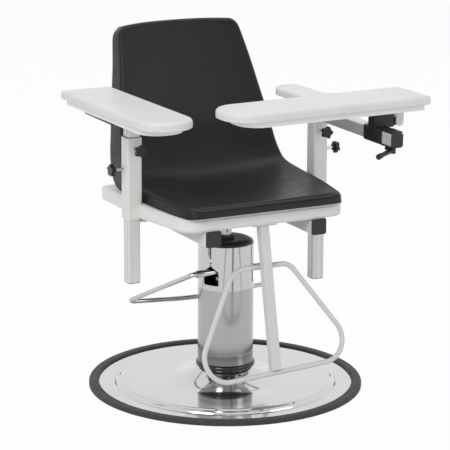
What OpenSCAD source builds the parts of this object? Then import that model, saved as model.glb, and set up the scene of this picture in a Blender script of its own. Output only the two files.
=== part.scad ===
// Hydraulic blood-drawing chair: round plated base, pump column, swivelling
// seat on a lifting ram, two arm boards on telescoping posts, and a foot bar.
// Origin: on the floor, on the column's axis. The chair faces -Y.

/* [Base] */
// Outer radius of the base at its rubber rim
base_r = 330; // [300:1:360]
// Width of the rubber rim
rim_w = 24; // [16:1:30]
// Height of the rubber rim
rim_h = 11.6; // [10:0.1:16]
// Radius of the raised disc at its foot
disc_foot_r = 266; // [220:1:280]
// Radius of the raised disc at its top
disc_r = 254; // [200:1:262]
// Height of the raised disc above the floor
disc_h = 17; // [14:0.5:24]
// Thickness of the plated cover
cover_t = 1.4; // [1:0.1:2]
// Height of the cover's flange above the floor
flange_h = 7.4; // [6:0.1:9]
// Radius of the cover's bell at its foot
bell_foot_r = 150; // [110:1:200]

/* [Column] */
// Outer radius of the column
column_r = 66.7; // [55:0.1:80]
// Wall of the column's tubes
column_wall = 2; // [1.5:0.1:3]
// Radius of the pump body where it shows under the column
neck_r = 46; // [35:0.5:50]
// Height of the gap between the disc and the column's foot ring
neck_gap = 28; // [15:1:40]
// Height of the foot ring
ring_h = 15; // [10:1:25]
// Height of the plated band above the foot ring
band_h = 22; // [10:1:40]
// Height above the floor where the brushed tube ends
tube_top = 245.5; // [200:0.5:270]
// Height of the plated sleeve
sleeve_h = 107.5; // [80:0.5:130]
// Rise of the black cap
cap_h = 10; // [6:1:20]

/* [Lift] */
// Radius of the lifting ram
ram_r = 14; // [10:0.5:18]
// Radius of the ram's swivel pin
swivel_r = 11; // [8:0.5:14]
// Height of the pedal's axis above the floor
pedal_z = 290.5; // [260:0.5:300]
// How far the pedal's axis lies before the column's axis
pedal_front = 34; // [0:1:40]
// Radius of the pedal's shafts
pedal_shaft_r = 8.5; // [8:0.5:10]
// Half width over the ends of the pedal's shafts
pedal_half_w = 97; // [80:1:120]
// Diameter of the pedal's bar
pedal_d = 12; // [8:0.5:13]
// Half width of the pedal at its cross bar
bar_half_w = 195; // [140:1:205]
// How far the cross bar lies behind the column's axis
bar_reach = 143; // [100:1:145]
// How far the cross bar's ends lie below the pedal's axis
bar_drop = 100; // [60:1:115]

/* [Seat frame] */
// Height of the seat board's underside above the floor
seat_z = 440.2; // [436:0.2:470]
// Thickness of the seat board
board_t = 31.7; // [20:0.1:40]
// Half width of the seat board at its posts and behind them
seat_half_w = 237; // [225:1:240]
// Half width of the seat board at its front
seat_front_half_w = 213; // [190:1:235]
// Depth of the seat board
seat_depth = 408; // [370:1:430]
// How far the seat board's front lies before the axis
seat_front = 206; // [195:1:225]
// Side of the square frame tubes
tube_w = 38.1; // [30:0.1:45]
// Wall of the square frame tubes
tube_wall = 2.6; // [2:0.1:3]
// Distance from the axis to each frame tube
tube_x = 137.4; // [110:0.1:150]

/* [Shell] */
// Half width of the seat shell at its widest
shell_half_w = 217; // [200:1:220]
// Depth of the seat shell from nose to back
shell_depth = 510; // [460:1:540]
// How far the seat shell's nose lies before the axis
shell_front = 219; // [205:1:230]
// Height of the seat shell above the seat board
shell_h = 373; // [320:1:420]
// Wall of the seat shell
shell_t = 5; // [4:0.5:8]
// Radius of the shell's rolled edge
roll_r = 11; // [6:0.5:12]

/* [Posts] */
// Distance from the axis to each arm post
post_x = 246.5; // [245:0.5:262]
// Side of the outer post tubes
post_w = 38.1; // [34:0.1:44]
// Wall of the outer post tubes
post_wall = 2.9; // [2:0.1:3]
// Length of the outer post tubes
post_len = 194; // [150:1:230]
// Height of the post tubes' lower ends above the floor
post_z = 437; // [434:1:440]
// Side of the inner post tubes
inner_w = 30; // [24:0.5:31]
// Wall of the inner post tubes
inner_wall = 2.4; // [2:0.1:3]
// Length of the inner post tubes
inner_len = 397; // [330:1:400]
// Radius of the star knobs
knob_r = 15; // [12:0.5:17]
// Height of the upper knobs above the floor
knob_high = 605; // [590:1:606]
// Height of the lower knobs above the floor
knob_low = 556; // [500:1:570]

/* [Left board] */
// Width of the left arm board
left_w = 130; // [110:1:150]
// Length of the left arm board
left_len = 467; // [400:1:500]
// How far the left board's front lies before the axis
left_front = 289; // [250:1:300]
// Distance from the axis to the left board's middle
left_x = 279; // [270:1:290]
// Turn of the left board on its post
left_yaw = 1.5; // [0:0.1:3]

/* [Right board] */
// Length of the right board across the seat
right_len = 514; // [450:1:520]
// Width of the right board
right_w = 139; // [120:1:145]
// How far the right board reaches past the axis, outwards
right_end = 343; // [320:1:350]
// Width of the elbow branch
branch_w = 66; // [50:1:80]
// Distance from the axis to the branch's middle
branch_x = 119; // [90:1:140]
// Length of the branch behind the board
branch_len = 150; // [100:1:160]
// Turn of the right board on its hinge
right_yaw = 2.4; // [0:0.1:5]

/* [Boards] */
// Thickness of a board's upper slab
slab_t = 20; // [16:0.5:24]
// Thickness of a board's lower slab
base_t = 14; // [10:0.5:20]
// How far the lower slab is set in
base_inset = 11; // [6:0.5:16]
// How far the lower slab is set in at a board's rounded end
nose_inset = 36; // [16:1:45]
// Radius of the upper slab's top edge
slab_edge_r = 8; // [4:0.5:10]

/* [Beam] */
// Length of the beam before the post's middle
beam_reach = 367; // [340:1:400]
// How far the carriage's middle lies before the axis
carriage_y = 288; // [280:1:300]
// Length of the carriage's sleeve
carriage_len = 77; // [60:1:90]
// Wall of the carriage's sleeve
carriage_wall = 3; // [2.5:0.1:4]
// Height of the hinge block above the sleeve
block_h = 36; // [28:1:40]
// Radius of the hinge pin
hinge_r = 4; // [3:0.25:5]
// Distance from the axis to the hinge pin
hinge_x = 293; // [290:1:300]

/* [Foot bar] */
// Side of the foot bar's strut
strut_w = 22.5; // [18:0.5:28]
// How far the strut's top lies before the axis
strut_y = 185; // [175:1:195]
// Length down the strut to the foot bar's bottom run
strut_len = 346.2; // [300:0.2:350]
// Forward lean of the strut, in degrees
strut_lean = 16.5; // [12:0.5:20]
// Sideways lean of the strut, in degrees
strut_side = 2.4; // [0:0.1:4]
// Diameter of the foot bar
hoop_d = 12; // [10:0.5:16]
// Half width of the foot bar at its top corners
hoop_top_half_w = 73; // [60:1:100]
// Half width of the foot bar at its bottom corners
hoop_low_half_w = 223; // [170:1:225]
// Distance along the strut from its top to the foot bar's top
hoop_top = 100; // [90:1:120]
// How far the foot bar lies to the left of the seat's middle
hoop_shift = 8.5; // [0:0.5:12]
// Slant of the foot bar's bottom run, in degrees
hoop_slant = 3.1; // [0:0.1:6]

/* [Hidden] */
$fn = 64;

// Overrun of every cut past the faces it opens
over = 0.5;
// Radial play of a turning or sliding round fit
play = 0.05;
// Gap between pieces that move past each other
gap = 0.3;
// Height of the base plate off the floor
plate_lift = 1;
// Thickness of the base plate
plate_t = 5;
// Radius of the pad under the base plate's middle, which meets the floor
pad_r = 40;
// Step of the disc's shoulder below its top, and its set back
shoulder_drop = 4.5;
shoulder_in = 7;
// Depth that the rim's groove takes the cover and plate
rim_grip = 8;
// Radius of the rim's rounded edges
rim_edge = 4;
plate_r = base_r - rim_w + rim_grip;
cover_r = base_r - rim_w + rim_grip;

// Column heights, from the disc up
ring_z = disc_h + neck_gap;
// Bell of the cover, from the disc up to the foot ring: its top radius and its hollow curve
bell_top_r = column_r - column_wall;
bell_run = bell_foot_r - bell_top_r;
bell_curve_r = (bell_run * bell_run + neck_gap * neck_gap) / (2 * neck_gap);
bell_steps = 12;
band_z = ring_z + ring_h;
tube_z = band_z + band_h;
sleeve_z = tube_top;
cap_z = sleeve_z + sleeve_h;
// How far the foot ring bulges past the column
ring_bulge = 5;
// How far the band stands proud of the brushed tube
band_proud = 0.4;
// How far the sleeve stands proud of the brushed tube
sleeve_proud = 0.5;
// Radius of the pump body inside the column
pump_r = 40;
// Height of the pump's mounting flange, and its radius
pump_flange_t = 6;
pump_flange_r = 60;
// Height of the ram's lower end at rest
ram_z = 120;
// Thickness of the pump's floor under the ram
pump_floor = 20;
// Radius of the circle of pump bolts, the bolts' own radius and head
pump_bolt_pcd_r = 53;
pump_bolt_r = 3;
pump_bolt_head_r = 5;
pump_bolt_head_h = 3;
pump_bolt_n = 6;
// Turn of the sleeve's windows from the front, and their half angle
window_turn = 59;
window_half = 17.5;
// Heights of the sleeve's windows above the sleeve's foot
window_low = 13;
window_side = 47;
window_peak = 60.5;
// Height and width of the slit over each window, and its hole
slit_low = 77.5;
slit_w = 2.6;
slit_hole_r = 2.2;
slit_hole_z = 67.5;
// Half height of the pump's block round the pedal's shafts
shaft_block = 14;
// Height and outer radius of the ram's seal
seal_h = 4;
seal_r = 21;
// Thickness of the cap's skirt inside the sleeve
cap_skirt = 6;

// Lifting ram: depth of its thick part's top under the seat board, length of its pin
hub_depth = 41.2;
ram_top = seat_z - hub_depth;
pin_len = 30;
collar_r = 19;
collar_h = 8;
collar_drop = 7;
// Distance from the axis to the pedal shafts' inner ends
shaft_in = 18;
// Length of the sockets at the shafts' outer ends
socket_len = 10;
// Bend radius of the pedal's bar, sag of its cross bar and the sag's radius, steps in a bend
pedal_bend = 14;
bar_sag = 14;
sag_r = 1300;
bend_steps = 7;
rod_sides = 16;

// Seat board: corner radii, edge round, notch depth
corner_front = 41;
corner_back = 12;
board_edge = 7;
notch_x = post_x - post_w / 2;
seat_top = seat_z + board_t;
// Swivel hub: radius, flange half side and thickness
hub_r = 23;
hub_half = 70;
hub_t = 6;
hub_z = ram_top + collar_h - collar_drop + gap;
hub_bolt_x = 55;
hub_bolt_r = 4;
hub_head_r = 6.5;
hub_head_h = 4;
// Corner radius of the square tubes
tube_corner = 5;
frame_len = 412;
frame_front = 206;
tube_end_t = 3;
cap_grip = 8;
frame_z = seat_z - tube_w;
// Height and depth of the brackets between frame tubes and posts
bracket_h = 12;
bracket_w = 30;
// Screws through the seat board into the shell
screw_r = 3;
screw_head_r = 7;
screw_head_h = 3;
screw_x = 95;
screw_front = 120;
screw_back = 60;

// Posts
post_corner = 5.5;
inner_corner = 3;
groove_w = 3;
groove_d = 0.8;
post_top = post_z + post_len;
bush_t = 1.4;
bush_grip = 20;
plug_t = 1.6;
plug_grip = 8;
// Height of the left inner tube's lower end above the floor
left_inner_z = 283.5;
// Height of the right inner tube's lower end above the floor
right_inner_z = post_top + bush_t - inner_len;

// Star knobs: thickness, rise of the lobes over the mean outline, stud and boss sizes
knob_t = 14;
knob_hub_t = 5;
lobe_rise = 2;
lobe_n = 5;
lobe_steps = 12;
stud_r = 4;
front_stand = 19;
side_stand = 23;
boss_r = 8.5;
boss_t = 2.5;
knob_grip = 8;

// Left arm plate: sizes and place under the board
left_plate_t = 3.5;
left_plate_w = 88;
left_plate_len = 150;
left_plate_front = 80;
// Screws through the left arm plate: radius, head, depth in the board, set in from the plate's edges
arm_screw_r = 2.5;
arm_screw_head_r = 5;
arm_screw_head_h = 2.5;
arm_screw_depth = 12;
arm_screw_in = 16;
gusset_t = 14;
gusset_h = 20;
left_base_z = left_inner_z + inner_len + left_plate_t;
left_corner_share = 0.46;
left_corner_front = left_w * left_corner_share;
left_corner_back = 4;

// Beam and carriage
beam_z = right_inner_z + inner_len;
beam_back = 17;
beam_cap_t = 3;
beam_gap = 0.5;
nose_len = 40;
nose_t = 3;
tongue_half_w = 14;
sleeve_side = inner_w + beam_gap * 2 + carriage_wall * 2;
carriage_top = beam_z + inner_w + beam_gap + carriage_wall;
block_depth = 28;
block_front = 10;
block_x = 228;
block_w = 52;
hinge_z = carriage_top + 8;
knuckle_r = 7.5;
leaf_t = 3;
ear_t = 5;
ear_r = 9.5;
leaf_w = 78;
leaf_gap = 0.3;
right_base_z = carriage_top + block_h + leaf_t;
right_corner_share = 0.446;
right_corner_tip = right_w * right_corner_share;
right_corner_end = 8;
branch_fillet = 24;
branch_corner_share = 0.485;
branch_corner = branch_w * branch_corner_share;
base_corner = 2;
slab_low_r = 3;
outline_steps = 8;
edge_steps = 4;
// Clamp lever
lever_y = carriage_y + carriage_len / 2 + 22;
lever_hub_r = 8;
lever_hub_h = 15;
lever_len = 56;
lever_end_r = 6.5;
lever_arm_r = 6.5;
lever_wing = 24;
lever_wing_r = 4;
lever_wing_turn = 113;
lever_turn = 209;
lever_slope = 5;
lever_stud_r = 4;

// Foot bar: bends at its bottom, top left and top right corners, plate at the strut's top
hoop_low_bend = 55;
hoop_left_bend = 58;
hoop_right_bend = 36;
strut_corner = 2.5;
foot_plate_t = 4;
foot_plate_w = 60;
foot_plate_d = 46;

// Unit vector, mid point between two points, and cross-fade
function unit(v) = v / norm(v);
function mix(a, b, t) = a + (b - a) * t;

// Points of an arc that rounds the corner b between a and c
function bend(a, b, c, r, steps) =
    let (u = unit(a - b), v = unit(c - b))
    let (half = acos(u * v) / 2, cut = r / tan(half), centre = b + unit(u + v) * r / sin(half))
    let (p = b + u * cut - centre, q = b + v * cut - centre, sweep = 180 - 2 * half)
    [for (i = [0:steps]) let (t = i / steps)
        centre + (p * sin(sweep * (1 - t)) + q * sin(sweep * t)) / sin(sweep)];

// Frame carried along a path without twist, starting from a given side vector
function next_side(side, t) = unit(side - t * (side * t));
function sides(tangents, i, side) =
    i >= len(tangents) ? [] : let (s = next_side(side, tangents[i])) concat([s], sides(tangents, i + 1, s));

// Closed tube along a path; the path may close on itself
module rod(path, d, closed = false) {
    n = len(path);
    tangents = [for (i = [0:n - 1])
        let (after = closed ? (i + 1) % n : min(i + 1, n - 1))
        let (before = closed ? (i + n - 1) % n : max(i - 1, 0))
            unit(path[after] - path[before])];
    side = sides(tangents, 0, unit(cross(tangents[0], [0.1, 0.2, 1])));
    points = [for (i = [0:n - 1]) let (up = cross(tangents[i], side[i]))
        for (k = [0:rod_sides - 1]) let (a = 360 * k / rod_sides)
            path[i] + d / 2 * (side[i] * cos(a) + up * sin(a))];
    last = closed ? n - 1 : n - 2;
    walls = [for (i = [0:last]) for (k = [0:rod_sides - 1])
        let (a = i * rod_sides, b = ((i + 1) % n) * rod_sides, m = (k + 1) % rod_sides)
            each [[a + k, b + k, b + m], [a + k, b + m, a + m]]];
    ends = closed ? [] : [[for (k = [0:rod_sides - 1]) k],
        [for (k = [rod_sides - 1:-1:0]) (n - 1) * rod_sides + k]];
    polyhedron(points, concat(walls, ends));
}

// Square outline with round corners
module square_outline(side, r) {
    offset_side = side / 2 - r;
    for (x = [-offset_side, offset_side], y = [-offset_side, offset_side])
        translate([x, y])
            circle(r);
    square([side, side - 2 * r], center = true);
    square([side - 2 * r, side], center = true);
}

// Square tube along Z with round corners
module square_tube(side, wall, r, h) {
    linear_extrude(h)
        difference() {
            square_outline(side, r);
            square_outline(side - 2 * wall, max(r - wall, r / 4));
        }
}

// Grooved square tube, as the arms' extrusion
module grooved_tube(h) {
    linear_extrude(h)
        difference() {
            square_outline(inner_w, inner_corner);
            square_outline(inner_w - 2 * inner_wall, inner_corner / 4);
            for (a = [0:90:270], s = [-1, 1])
                rotate(a)
                    translate([inner_w / 2 - groove_d, s * inner_w / 4 - groove_w / 2])
                        square([groove_d + over, groove_w]);
        }
}

// Turned ring between two radii
module ring(inner, outer, h) {
    rotate_extrude($fn = 128)
        translate([inner, 0])
            square([outer - inner, h]);
}

// Heavy disc under the cover, with the pump's seat
module base_plate() {
    color("dimgray")
        difference() {
            union() {
                cylinder(r = pad_r, h = plate_lift + plate_t);
                translate([0, 0, plate_lift])
                    cylinder(r = plate_r, h = plate_t, $fn = 160);
                translate([0, 0, plate_lift + plate_t])
                    cylinder(r = pump_flange_r, h = disc_h - cover_t - pump_flange_t - plate_lift - plate_t);
            }
            for (i = [0:pump_bolt_n - 1])
                rotate(360 * i / pump_bolt_n)
                    translate([pump_bolt_pcd_r, 0, plate_lift - over])
                        cylinder(r = pump_bolt_r, h = disc_h);
            for (i = [0:pump_bolt_n - 1])
                rotate(360 * i / pump_bolt_n)
                    translate([pump_bolt_pcd_r, 0, plate_lift - over])
                        cylinder(r = pump_bolt_head_r + over, h = pump_bolt_head_h + over);
        }
}

// Points of the bell's curve from its top down to its foot, at a depth under its surface
function bell_curve(depth) = [for (i = [0:bell_steps])
    let (a = asin(bell_run / bell_curve_r) * (1 - i / bell_steps), r = bell_curve_r + depth)
        [bell_foot_r - r * sin(a), disc_h + bell_curve_r - r * cos(a)]];

// Plated cover: flat flange, stepped shoulder, raised disc and a bell up to the foot ring
module base_cover() {
    color("gainsboro")
        rotate_extrude($fn = 160)
            polygon(concat(bell_curve(cover_t), [
                [disc_r - cover_t, disc_h - cover_t],
                [disc_r, disc_h - shoulder_drop],
                [disc_r + shoulder_in - cover_t, disc_h - shoulder_drop - cover_t],
                [disc_foot_r - cover_t, flange_h - cover_t],
                [cover_r, flange_h - cover_t],
                [cover_r, flange_h],
                [disc_foot_r, flange_h],
                [disc_r + shoulder_in, disc_h - shoulder_drop],
                [disc_r + cover_t, disc_h - shoulder_drop + cover_t],
                [disc_r, disc_h - cover_t / 2],
                [disc_r - cover_t, disc_h]
            ], [for (i = [bell_steps:-1:0]) bell_curve(0)[i]]));
}

// Rubber rim, grooved to take the plate's and the cover's edges
module base_rim() {
    color("dimgray")
        rotate_extrude($fn = 160)
            difference() {
                union() {
                    translate([base_r - rim_w, 0])
                        square([rim_w - rim_edge, rim_h - rim_edge / 4]);
                    translate([base_r - rim_w + rim_edge, 0])
                        square([rim_w - 2 * rim_edge, rim_h]);
                    translate([base_r - rim_edge, rim_edge / 4])
                        square([rim_edge, rim_h - rim_edge * 5 / 4]);
                    translate([base_r - rim_edge, rim_h - rim_edge])
                        circle(rim_edge);
                }
                translate([base_r - rim_w - over, plate_lift])
                    square([rim_grip + over, flange_h - plate_lift]);
            }
}

// Pump body: bore for the ram, cross bores for the pedal's shafts
module pump_body() {
    flange_z = disc_h - cover_t - pump_flange_t;
    color("gray")
        difference() {
            union() {
                translate([0, 0, flange_z])
                    cylinder(r = pump_flange_r, h = pump_flange_t);
                translate([0, 0, flange_z])
                    cylinder(r = neck_r, h = band_z - flange_z);
                translate([0, 0, band_z])
                    cylinder(r = pump_r, h = cap_z - band_z);
                translate([-pump_r, -pedal_front - shaft_block, pedal_z - shaft_block])
                    cube([2 * pump_r, pedal_front + shaft_block, 2 * shaft_block]);
            }
            translate([0, 0, flange_z + pump_floor])
                cylinder(r = ram_r + play, h = cap_z);
            for (s = [-1, 1])
                translate([s * (shaft_in - gap), -pedal_front, pedal_z])
                    rotate([0, s * 90, 0])
                        cylinder(r = pedal_shaft_r + play, h = pump_r);
            for (i = [0:pump_bolt_n - 1])
                rotate(360 * i / pump_bolt_n)
                    translate([pump_bolt_pcd_r, 0, flange_z - over])
                        cylinder(r = pump_bolt_r, h = pump_flange_t + 2 * over);
        }
}

// Bolts that hold the pump to the base plate, heads sunk underneath
module pump_bolts() {
    color("silver")
        for (i = [0:pump_bolt_n - 1])
            rotate(360 * i / pump_bolt_n)
                translate([pump_bolt_pcd_r, 0, plate_lift]) {
                    cylinder(r = pump_bolt_r, h = disc_h - cover_t - plate_lift);
                    cylinder(r = pump_bolt_head_r, h = pump_bolt_head_h);
                }
}

// Black ring that carries the column's tubes on the pump's neck
module column_foot_ring() {
    color("black")
        rotate_extrude($fn = 128)
            difference() {
                union() {
                    translate([neck_r, ring_z])
                        square([column_r - neck_r, ring_h]);
                    translate([column_r + ring_bulge - ring_h / 2, ring_z + ring_h / 2])
                        circle(ring_h / 2);
                }
                translate([0, ring_z])
                    square([neck_r, ring_h]);
            }
}

// Plated band above the foot ring
module column_band() {
    color("silver")
        translate([0, 0, band_z])
            ring(column_r - column_wall, column_r + band_proud, band_h);
}

// Brushed lower tube of the column
module column_tube() {
    color("darkgray")
        translate([0, 0, tube_z])
            ring(column_r - column_wall, column_r, tube_top - tube_z);
}

// Outline of one window in the sleeve, seen square on
module window_outline() {
    half = column_r * sin(window_half);
    polygon([
        [-half, window_low],
        [half, window_low],
        [half, window_side],
        [0, window_peak],
        [-half, window_side]
    ]);
}

// Plated upper sleeve with its slits, and the windows that the pedal's shafts pass
module column_sleeve() {
    color("gainsboro")
        difference() {
            translate([0, 0, sleeve_z])
                ring(column_r - column_wall, column_r + sleeve_proud, sleeve_h);
            for (s = [-1, 1])
                rotate(s * window_turn)
                    translate([0, 0, sleeve_z])
                        rotate([90, 0, 0])
                            linear_extrude(column_r + column_wall)
                                window_outline();
            for (s = [-1, 1])
                rotate(s * window_turn)
                    translate([-slit_w / 2, -column_r - column_wall, sleeve_z + slit_low])
                        cube([slit_w, column_r, sleeve_h]);
            for (s = [-1, 1])
                rotate(s * window_turn)
                    translate([0, 0, sleeve_z + slit_hole_z])
                        rotate([90, 0, 0])
                            cylinder(r = slit_hole_r, h = column_r + column_wall);
        }
}

// Black domed cap over the sleeve, round the pump's top
module column_cap() {
    color("black")
        rotate_extrude($fn = 128)
            polygon([
                [ram_r + gap, cap_z],
                [pump_r, cap_z],
                [pump_r, cap_z - cap_skirt],
                [column_r - column_wall, cap_z - cap_skirt],
                [column_r - column_wall, cap_z],
                [column_r, cap_z],
                [column_r - cap_h / 4, cap_z + cap_h / 2],
                [column_r - cap_h, cap_z + cap_h * 7 / 8],
                [column_r - 2 * cap_h, cap_z + cap_h],
                [ram_r + gap, cap_z + cap_h]
            ]);
}

// Wiper seal round the ram
module ram_seal() {
    color("slategray")
        translate([0, 0, cap_z + cap_h])
            ring(ram_r + play, seal_r, seal_h);
}

// Lifting ram and the pin that the seat turns on
module lift_ram() {
    color("silver") {
        translate([0, 0, ram_z])
            cylinder(r = ram_r, h = ram_top - ram_z);
        translate([0, 0, ram_top])
            cylinder(r = swivel_r, h = pin_len);
    }
}

// Collar on the ram that the swivel hub runs on
module ram_collar() {
    color("gray")
        translate([0, 0, ram_top - collar_drop])
            difference() {
                cylinder(r = collar_r, h = collar_h);
                translate([0, 0, -over])
                    cylinder(r = ram_r, h = collar_drop + over);
                cylinder(r = swivel_r, h = collar_h + over);
            }
}

// Bent pedal bar from one shaft's end round to the other
module pedal_bar() {
    end = [pedal_half_w - socket_len, -pedal_front, pedal_z];
    knee = [pedal_half_w + pedal_d * 3 / 4, -pedal_front, pedal_z];
    corner = [bar_half_w, bar_reach, pedal_z - bar_drop];
    middle = [0, bar_reach, pedal_z - bar_drop - bar_sag];
    flip = [-1, 1, 1];
    left = [for (k = [0:2]) end[k] * flip[k]];
    left_knee = [for (k = [0:2]) knee[k] * flip[k]];
    left_corner = [for (k = [0:2]) corner[k] * flip[k]];
    path = concat([left], bend(left, left_knee, left_corner, pedal_d, bend_steps),
        bend(left_knee, left_corner, middle, pedal_bend, bend_steps),
        bend(left_corner, middle, corner, sag_r, bend_steps),
        bend(middle, corner, knee, pedal_bend, bend_steps),
        bend(corner, knee, end, pedal_d, bend_steps), [end]);
    color("silver")
        rod(path, pedal_d);
}

// Pedal shafts that turn in the pump, with a socket for the bar
module pedal_shafts() {
    color("silver")
        for (s = [-1, 1])
            translate([s * shaft_in, -pedal_front, pedal_z])
                rotate([0, s * 90, 0])
                    difference() {
                        cylinder(r = pedal_shaft_r, h = pedal_half_w - shaft_in);
                        translate([0, 0, pedal_half_w - shaft_in - socket_len])
                            cylinder(r = pedal_d / 2 + play, h = socket_len + over);
                    }
}

// Hub under the seat that turns on the ram's pin
module swivel_hub() {
    color("gray")
        difference() {
            union() {
                translate([0, 0, hub_z])
                    cylinder(r = hub_r, h = seat_z - hub_z);
                translate([-hub_half, -hub_half, seat_z - hub_t])
                    cube([2 * hub_half, 2 * hub_half, hub_t]);
            }
            translate([0, 0, hub_z - over])
                cylinder(r = swivel_r + play, h = seat_z - hub_z + 2 * over);
            for (x = [-1, 1], y = [-1, 1])
                translate([x * hub_bolt_x, y * hub_bolt_x, seat_z - hub_t - over])
                    cylinder(r = hub_bolt_r, h = hub_t + 2 * over);
        }
}

// Bolts that hold the hub to the seat board
module hub_bolts() {
    color("silver")
        for (x = [-1, 1], y = [-1, 1])
            translate([x * hub_bolt_x, y * hub_bolt_x, seat_z - hub_t]) {
                translate([0, 0, -hub_head_h])
                    cylinder(r = hub_head_r, h = hub_head_h, $fn = 6);
                cylinder(r = hub_bolt_r, h = hub_t + board_t / 2);
            }
}

// Outline of the seat board, narrower in front, let in at each side for the posts
module seat_outline(inset) {
    difference() {
        hull()
            for (s = [-1, 1]) {
                translate([s * (seat_front_half_w - corner_front), corner_front - seat_front])
                    circle(corner_front - inset);
                translate([s * (seat_half_w - corner_back), -post_w / 2 - corner_back])
                    circle(corner_back - inset);
                translate([s * (seat_half_w - corner_back), seat_depth - seat_front - corner_back])
                    circle(corner_back - inset);
            }
        for (s = [-1, 1])
            translate([s * (notch_x + seat_half_w / 2), 0])
                square([seat_half_w, post_w], center = true);
    }
}

// Board that the shell sits on, with softened edges
module seat_board() {
    color("whitesmoke")
        difference() {
            union() {
                translate([0, 0, seat_z + board_edge / 2])
                    linear_extrude(board_t - board_edge * 3 / 2)
                        seat_outline(0);
                translate([0, 0, seat_z])
                    linear_extrude(board_t - board_edge * 2 / 3)
                        seat_outline(board_edge / 4);
                translate([0, 0, seat_top - board_edge])
                    linear_extrude(board_edge * 3 / 4)
                        seat_outline(board_edge / 4);
                translate([0, 0, seat_top - board_edge])
                    linear_extrude(board_edge)
                        seat_outline(board_edge * 2 / 3);
            }
            for (x = [-1, 1], y = [-1, 1])
                translate([x * hub_bolt_x, y * hub_bolt_x, seat_z - over])
                    cylinder(r = hub_bolt_r, h = board_t / 2 + over);
            for (x = [-1, 1], y = [-screw_front, screw_back])
                translate([x * screw_x, y, seat_z - over])
                    cylinder(r = screw_r, h = board_t + 2 * over);
        }
}

// Square tube along Y under the seat board
module frame_tube(s) {
    color("whitesmoke")
        translate([s * tube_x, frame_len - frame_front, frame_z + tube_w / 2])
            rotate([90, 0, 0])
                square_tube(tube_w, tube_wall, tube_corner, frame_len);
}

module frame_tube_left() {
    frame_tube(-1);
}

module frame_tube_right() {
    frame_tube(1);
}

// Black caps in the frame tubes' ends
module tube_caps() {
    color("black")
        for (x = [-1, 1], end = [[-frame_front, 90], [frame_len - frame_front, -90]])
            translate([x * tube_x, end[0], frame_z + tube_w / 2])
                rotate([end[1], 0, 0]) {
                    linear_extrude(tube_end_t)
                        square_outline(tube_w, tube_corner);
                    translate([0, 0, -cap_grip])
                        linear_extrude(cap_grip)
                            square_outline(tube_w - 2 * tube_wall, tube_corner - tube_wall);
                }
}

// Bracket from a frame tube out to a post
module post_bracket(s) {
    inner = tube_x + tube_w / 2;
    color("whitesmoke")
        translate([s > 0 ? inner : -notch_x, -bracket_w / 2, seat_z - bracket_h])
            cube([notch_x - inner, bracket_w, bracket_h]);
}

module post_bracket_left() {
    post_bracket(-1);
}

module post_bracket_right() {
    post_bracket(1);
}

// Outer post tube, drilled for its two clamping studs
module post(s) {
    color("whitesmoke")
        difference() {
            translate([s * post_x, 0, post_z])
                square_tube(post_w, post_wall, post_corner, post_len);
            translate([s * post_x, 0, knob_high])
                rotate([90, 0, 0])
                    cylinder(r = stud_r + play, h = post_w);
            translate([s * post_x, 0, knob_low])
                rotate([0, s * 90, 0])
                    cylinder(r = stud_r + play, h = post_w);
        }
}

module post_left() {
    post(-1);
}

module post_right() {
    post(1);
}

// Guide bush in a post's upper end
module post_bush(s) {
    color("black")
        translate([s * post_x, 0, post_top]) {
            linear_extrude(bush_t - gap)
                difference() {
                    square_outline(post_w - 1.5 * post_wall, post_corner / 2);
                    square_outline(inner_w + 2 * play, inner_corner);
                }
            translate([0, 0, -bush_grip])
                linear_extrude(bush_grip)
                    difference() {
                        square_outline(post_w - 2 * post_wall, post_corner / 2);
                        square_outline(inner_w + 2 * play, inner_corner);
                    }
        }
}

module post_bush_left() {
    difference() {
        post_bush(-1);
        bush_hole(-1);
    }
}

module post_bush_right() {
    difference() {
        post_bush(1);
        bush_hole(1);
    }
}

// Hole through a bush for the front stud
module bush_hole(s) {
    translate([s * post_x, 0, knob_high])
        rotate([90, 0, 0])
            cylinder(r = stud_r + play, h = post_w);
}

// Welded bosses that the clamping studs screw through
module knob_bosses() {
    color("whitesmoke")
        for (s = [-1, 1]) {
            translate([s * post_x, -post_w / 2, knob_high])
                rotate([90, 0, 0])
                    difference() {
                        cylinder(r = boss_r, h = boss_t);
                        translate([0, 0, -over])
                            cylinder(r = stud_r + play, h = boss_t + 2 * over);
                    }
            translate([s * (post_x + post_w / 2), 0, knob_low])
                rotate([0, s * 90, 0])
                    difference() {
                        cylinder(r = boss_r, h = boss_t);
                        translate([0, 0, -over])
                            cylinder(r = stud_r + play, h = boss_t + 2 * over);
                    }
        }
}

// Outline of a knob's head: a circle that swells into lobes
function knob_outline() = [for (i = [0:lobe_n * lobe_steps - 1])
    let (a = 360 * i / (lobe_n * lobe_steps), r = knob_r - lobe_rise + lobe_rise * cos(lobe_n * a))
        [r * cos(a), r * sin(a)]];

// Star knob along Z, its hub at the origin
module star_knob() {
    difference() {
        union() {
            cylinder(r = knob_r / 2, h = knob_t);
            translate([0, 0, knob_hub_t])
                linear_extrude(knob_t - knob_hub_t)
                    polygon(knob_outline());
        }
        translate([0, 0, -over])
            cylinder(r = stud_r, h = knob_grip + over);
    }
}

// Places a knob's parts before a post's front face
module at_front(s) {
    translate([s * post_x, -post_w / 2 - front_stand, knob_high])
        rotate([90, 0, 0])
            children();
}

// Places a knob's parts beside a post's outer face
module at_side(s) {
    translate([s * (post_x + post_w / 2 + side_stand), 0, knob_low])
        rotate([0, s * 90, 0])
            children();
}

// Stud from inside a knob in to the inner tube
module stud(stand) {
    reach = stand + (post_w - inner_w) / 2 - gap;
    color("silver")
        translate([0, 0, -reach])
            cylinder(r = stud_r, h = reach + knob_grip);
}

module knob_front_left() {
    color("black")
        at_front(-1)
            star_knob();
}

module stud_front_left() {
    at_front(-1)
        stud(front_stand);
}

module knob_side_left() {
    color("black")
        at_side(-1)
            star_knob();
}

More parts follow.
